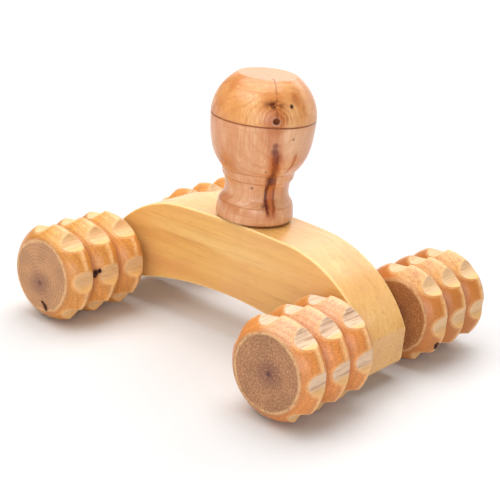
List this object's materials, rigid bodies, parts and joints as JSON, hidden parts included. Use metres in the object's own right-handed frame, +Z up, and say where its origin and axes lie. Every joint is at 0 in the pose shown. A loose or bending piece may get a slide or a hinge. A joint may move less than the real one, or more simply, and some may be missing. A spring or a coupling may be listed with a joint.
{
  "type": "wooden roller massager",
  "caption": "Hand-held wooden massager: a palm knob on an arched plank that rides on paired ridged and fluted rollers, which turn and shift sideways on steel rod axles.",
  "frame": {"origin": "On the floor, in the middle of the space that the massager takes up at rest.", "axes": "+X along the arch from the left rollers to the right rollers, +Y along the axles from the front rollers to the back rollers, +Z up through the knob."},
  "size_m": [0.1617, 0.131, 0.1129],
  "materials": {
    "plank_wood": "pale yellow hardwood, sanded smooth and lightly polished",
    "knob_wood": "pinkish orange wood with brown streaks and a knot, turned and polished",
    "roller_wood": "orange brown branch wood, turned, fluted and lightly oiled",
    "steel": "drawn bright steel rod and zinc plated screw"
  },
  "bodies": {
    "frame": {"arch_body": "plank_wood", "handle_knob": "knob_wood", "handle_screw": "steel"},
    "left_axle": {"left_axle": "steel"},
    "left_rollers": {"front_left_roller": "roller_wood", "back_left_roller": "roller_wood"},
    "right_axle": {"right_axle": "steel"},
    "right_rollers": {"front_right_roller": "roller_wood", "back_right_roller": "roller_wood"}
  },
  "joints": [
    {"name": "left_axle_float", "type": "slide", "parent": "frame", "child": "left_axle", "axis": [0, 1, 0], "range_m": [-0.0067, 0.0043]},
    {"name": "left_roll", "type": "hinge", "parent": "left_axle", "child": "left_rollers", "pos_m": [-0.06, -0.0024, 0.021], "axis": [0, 1, 0], "continuous": true},
    {"name": "right_axle_float", "type": "slide", "parent": "frame", "child": "right_axle", "axis": [0, 1, 0], "range_m": [-0.0091, 0.0019]},
    {"name": "right_roll", "type": "hinge", "parent": "right_axle", "child": "right_rollers", "pos_m": [0.06, -0.0024, 0.021], "axis": [0, 1, 0], "continuous": true}
  ]
}
